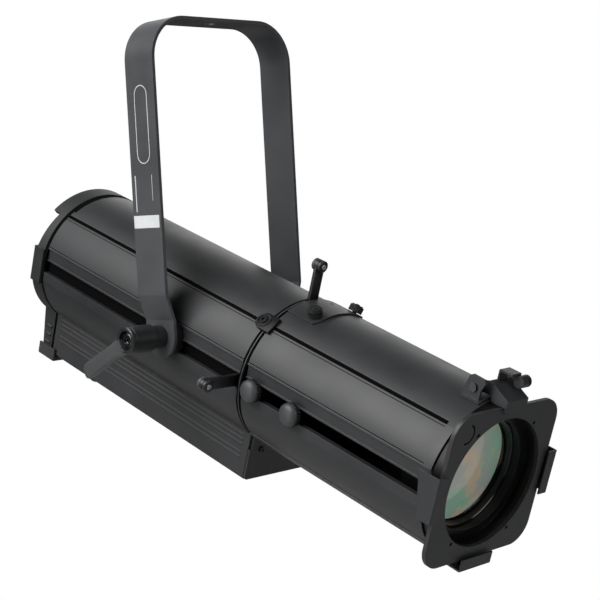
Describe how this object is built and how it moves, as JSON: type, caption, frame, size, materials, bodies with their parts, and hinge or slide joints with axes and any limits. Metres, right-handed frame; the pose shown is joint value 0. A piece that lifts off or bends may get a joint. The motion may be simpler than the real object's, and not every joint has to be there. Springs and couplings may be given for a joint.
{
  "type": "ellipsoidal spotlight",
  "caption": "Stage profile spotlight on a flat-bar yoke: tilting lamp with framing shutters, sliding focus and zoom lenses, colour-frame clips and latch, driver box and rear control panel.",
  "frame": {"origin": "centre of the yoke's hanging hole, on the outer face of the yoke's top bar", "axes": "+Z along the hanging hole, up towards what the lamp hangs from; +X along the tilt axis, away from the clamp lever; the beam leaves towards -Y, tipped down by the stored tilt"},
  "size_m": [0.2166, 0.5578, 0.452],
  "materials": {
    "yoke_steel": "satin powder coat",
    "body_black": "semi-gloss powder coat",
    "cap_black": "fine moulded texture",
    "bumper_rubber": "dull",
    "dark_metal": "matte black",
    "raw_aluminium": "machined",
    "black_aluminium": "matte anodised",
    "steel": "zinc plated",
    "black_steel": "blackened",
    "shutter_steel": "stainless",
    "knob_plastic": "moulded",
    "lever_plastic": "glass filled",
    "lens_glass": "coated",
    "display_gloss": "gloss",
    "button_plastic": "moulded",
    "board_green": "solder mask",
    "white_board": "ceramic white"
  },
  "bodies": {
    "yoke": {"yoke": "yoke_steel", "pivot_washers": "knob_plastic"},
    "clamp_handle": {"clamp_handle": "lever_plastic", "clamp_screw": "steel"},
    "lamp": {"rear_crown_shell": "body_black", "rear_side_shells": "body_black", "rear_lower_shell": "body_black", "front_crown_shell": "body_black", "front_side_shells": "body_black", "front_lower_shell": "body_black", "driver_box": "body_black", "box_front_plate": "body_black", "rear_cap": "cap_black", "rear_panel": "dark_metal", "rear_sockets": "dark_metal", "fuse_holder": "knob_plastic", "display_window": "display_gloss", "rear_gasket": "bumper_rubber", "bumper_feet": "bumper_rubber", "fan_frame": "cap_black", "fan_grille": "black_steel", "heat_sink": "black_aluminium", "led_board": "white_board", "mixing_optic": "raw_aluminium", "power_supply": "raw_aluminium", "control_board": "board_green", "seam_ring": "dark_metal", "gate_plates": "black_steel", "guide_rods": "steel", "lens_barrel": "dark_metal", "front_lens": "lens_glass", "front_plate": "body_black", "frame_clips": "dark_metal", "latch_bracket": "dark_metal", "latch_pin": "steel", "latch_spring": "steel", "gobo_cover": "body_black", "seam_clips": "dark_metal", "pivot_bosses": "black_aluminium", "pivot_bolts": "steel", "cover_screws": "black_steel", "safety_eye": "steel"},
    "shutter_top": {"shutter_top": "shutter_steel"},
    "shutter_bottom": {"shutter_bottom": "shutter_steel"},
    "shutter_near": {"shutter_near": "shutter_steel"},
    "shutter_far": {"shutter_far": "shutter_steel"},
    "focus_carriage": {"focus_carriage": "black_aluminium", "focus_lens": "lens_glass"},
    "zoom_carriage": {"zoom_carriage": "black_aluminium", "zoom_lens": "lens_glass"},
    "focus_knob": {"focus_knob": "knob_plastic"},
    "zoom_knob": {"zoom_knob": "knob_plastic"},
    "latch": {"latch_arm": "dark_metal"},
    "thumbscrew_near": {"thumbscrew_near": "knob_plastic"},
    "thumbscrew_far": {"thumbscrew_far": "knob_plastic"},
    "fan_rotor": {"fan_rotor": "cap_black"},
    "menu_button_1": {"menu_button_1": "button_plastic"},
    "menu_button_2": {"menu_button_2": "button_plastic"},
    "menu_button_3": {"menu_button_3": "button_plastic"},
    "menu_button_4": {"menu_button_4": "button_plastic"}
  },
  "joints": [
    {"name": "tilt", "type": "hinge", "parent": "yoke", "child": "lamp", "pos_m": [0, 0, -0.273], "axis": [1, 0, 0], "range_deg": [-75, 95]},
    {"name": "clamp_turn", "type": "hinge", "parent": "yoke", "child": "clamp_handle", "pos_m": [0, 0, -0.273], "axis": [1, 0, 0], "range_deg": [-30, 150]},
    {"name": "shutter_top_slide", "type": "slide", "parent": "lamp", "child": "shutter_top", "axis": [0, 0.3437, -0.9391], "range_m": [0, 0.0235]},
    {"name": "shutter_bottom_slide", "type": "slide", "parent": "lamp", "child": "shutter_bottom", "axis": [-0.5, -0.2976, 0.8133], "range_m": [0, 0.0235]},
    {"name": "shutter_near_slide", "type": "slide", "parent": "lamp", "child": "shutter_near", "axis": [1, 0, 0], "range_m": [0, 0.0235]},
    {"name": "shutter_far_slide", "type": "slide", "parent": "lamp", "child": "shutter_far", "axis": [-1, 0, 0], "range_m": [0, 0.0235]},
    {"name": "focus_slide", "type": "slide", "parent": "lamp", "child": "focus_carriage", "axis": [0, -0.9391, -0.3437], "range_m": [0, 0.024]},
    {"name": "zoom_slide", "type": "slide", "parent": "lamp", "child": "zoom_carriage", "axis": [0, -0.9391, -0.3437], "range_m": [0, 0.095]},
    {"name": "focus_knob_turn", "type": "hinge", "parent": "focus_carriage", "child": "focus_knob", "pos_m": [-0.07, -0.10474, -0.31559], "axis": [-1, 0, 0], "range_deg": [0, 360]},
    {"name": "zoom_knob_turn", "type": "hinge", "parent": "zoom_carriage", "child": "zoom_knob", "pos_m": [-0.07, -0.14935, -0.33191], "axis": [-1, 0, 0], "range_deg": [0, 360]},
    {"name": "latch_hinge", "type": "hinge", "parent": "lamp", "child": "latch", "pos_m": [0, -0.29921, -0.30796], "axis": [-1, 0, 0], "range_deg": [0, 85], "stiffness_Nm_per_rad": 0.02, "springref_deg": -57.3},
    {"name": "thumbscrew_near_turn", "type": "hinge", "parent": "lamp", "child": "thumbscrew_near", "pos_m": [-0.02221, -0.13746, -0.25528], "axis": [-0.3173, -0.3259, 0.8906], "range_deg": [0, 360]},
    {"name": "thumbscrew_far_turn", "type": "hinge", "parent": "lamp", "child": "thumbscrew_far", "pos_m": [0.02679, -0.13687, -0.25689], "axis": [0.3827, -0.3175, 0.8676], "range_deg": [0, 360]},
    {"name": "fan_spin", "type": "hinge", "parent": "lamp", "child": "fan_rotor", "pos_m": [0, 0.16378, -0.18804], "axis": [0, 0.9391, 0.3437], "continuous": true},
    {"name": "menu_button_1_press", "type": "slide", "parent": "lamp", "child": "menu_button_1", "axis": [0, -0.9391, -0.3437], "range_m": [0, 0.001], "stiffness_N_per_m": 400, "springref_m": -0.0005},
    {"name": "menu_button_2_press", "type": "slide", "parent": "lamp", "child": "menu_button_2", "axis": [0, -0.9391, -0.3437], "range_m": [0, 0.001], "stiffness_N_per_m": 400, "springref_m": -0.0005},
    {"name": "menu_button_3_press", "type": "slide", "parent": "lamp", "child": "menu_button_3", "axis": [0, -0.9391, -0.3437], "range_m": [0, 0.001], "stiffness_N_per_m": 400, "springref_m": -0.0005},
    {"name": "menu_button_4_press", "type": "slide", "parent": "lamp", "child": "menu_button_4", "axis": [0, -0.9391, -0.3437], "range_m": [0, 0.001], "stiffness_N_per_m": 400, "springref_m": -0.0005}
  ]
}
